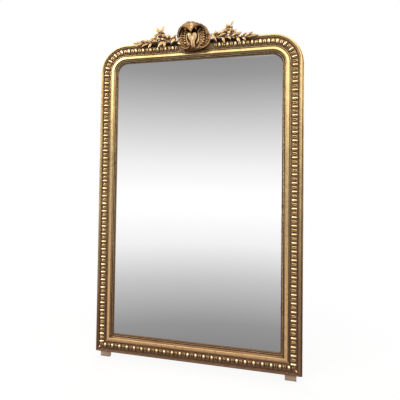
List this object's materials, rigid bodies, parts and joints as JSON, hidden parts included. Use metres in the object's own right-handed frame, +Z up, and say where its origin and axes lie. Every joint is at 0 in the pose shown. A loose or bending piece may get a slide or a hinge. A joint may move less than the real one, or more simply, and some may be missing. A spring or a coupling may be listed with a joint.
{
  "type": "overmantel mirror",
  "caption": "Arched gilt overmantel mirror with running boss-and-husk moulding, pearl sight bead, carved floral crest and ring hangers.",
  "frame": {"origin": "under the middle of the mirror, level with the undersides of its feet and halfway through its depth", "axes": "+Z up, the glass and the carved front face -Y, the wall is on the +Y side, +X runs to the right of someone who looks at the front"},
  "size_m": [0.97, 0.0888, 1.6013],
  "materials": {
    "gilt_moulding": "aged gold leaf over red bole and gesso on wood",
    "gilt_ornament": "aged gold leaf, bright on the bosses and dark in the hollows",
    "gilt_bead": "aged gold leaf, toned brown",
    "gilt_crest": "antique gold leaf, rubbed on the high points",
    "silvered_glass": "silvered plate glass",
    "back_pine": "bare aged pine",
    "foot_wood": "bare aged wood",
    "hanger_iron": "dark forged iron"
  },
  "bodies": {
    "mirror": {"stile_left": "gilt_moulding", "corner_left": "gilt_moulding", "ornament_left": "gilt_ornament", "ornament_corner_left": "gilt_ornament", "ornament_mitre_left": "gilt_ornament", "sight_bead_left": "gilt_bead", "sight_bead_corner_left": "gilt_bead", "glazing_slip_left": "back_pine", "stile_right": "gilt_moulding", "corner_right": "gilt_moulding", "ornament_right": "gilt_ornament", "ornament_corner_right": "gilt_ornament", "ornament_mitre_right": "gilt_ornament", "sight_bead_right": "gilt_bead", "sight_bead_corner_right": "gilt_bead", "glazing_slip_right": "back_pine", "rail_bottom": "gilt_moulding", "rail_top": "gilt_moulding", "ornament_bottom": "gilt_ornament", "ornament_top": "gilt_ornament", "sight_bead_bottom": "gilt_bead", "sight_bead_top": "gilt_bead", "glazing_slip_bottom": "back_pine", "glazing_slip_top": "back_pine", "mirror_plate": "silvered_glass", "backboard_1": "back_pine", "backboard_2": "back_pine", "backboard_3": "back_pine", "backboard_4": "back_pine", "backboard_5": "back_pine", "foot_left": "foot_wood", "foot_right": "foot_wood", "crest_ground": "gilt_crest", "crest_hood": "gilt_crest", "crest_shield": "gilt_crest", "crest_scroll_left": "gilt_crest", "crest_pearls_left": "gilt_crest", "crest_scroll_right": "gilt_crest", "crest_pearls_right": "gilt_crest", "crest_branch_left": "gilt_crest", "crest_flower_left": "gilt_crest", "crest_branch_right": "gilt_crest", "crest_flower_right": "gilt_crest", "hanger_strap_left": "hanger_iron", "hanger_screw_left_1": "hanger_iron", "hanger_screw_left_2": "hanger_iron", "hanger_strap_right": "hanger_iron", "hanger_screw_right_1": "hanger_iron", "hanger_screw_right_2": "hanger_iron"},
    "ring_left": {"hanger_ring_left": "hanger_iron"},
    "ring_right": {"hanger_ring_right": "hanger_iron"}
  },
  "joints": [
    {"name": "ring_left_swing", "type": "hinge", "parent": "mirror", "child": "ring_left", "pos_m": [-0.449, 0.04003, 1.155], "axis": [1, 0, 0], "range_deg": [0, 180]},
    {"name": "ring_right_swing", "type": "hinge", "parent": "mirror", "child": "ring_right", "pos_m": [0.449, 0.04003, 1.155], "axis": [1, 0, 0], "range_deg": [0, 180]}
  ]
}
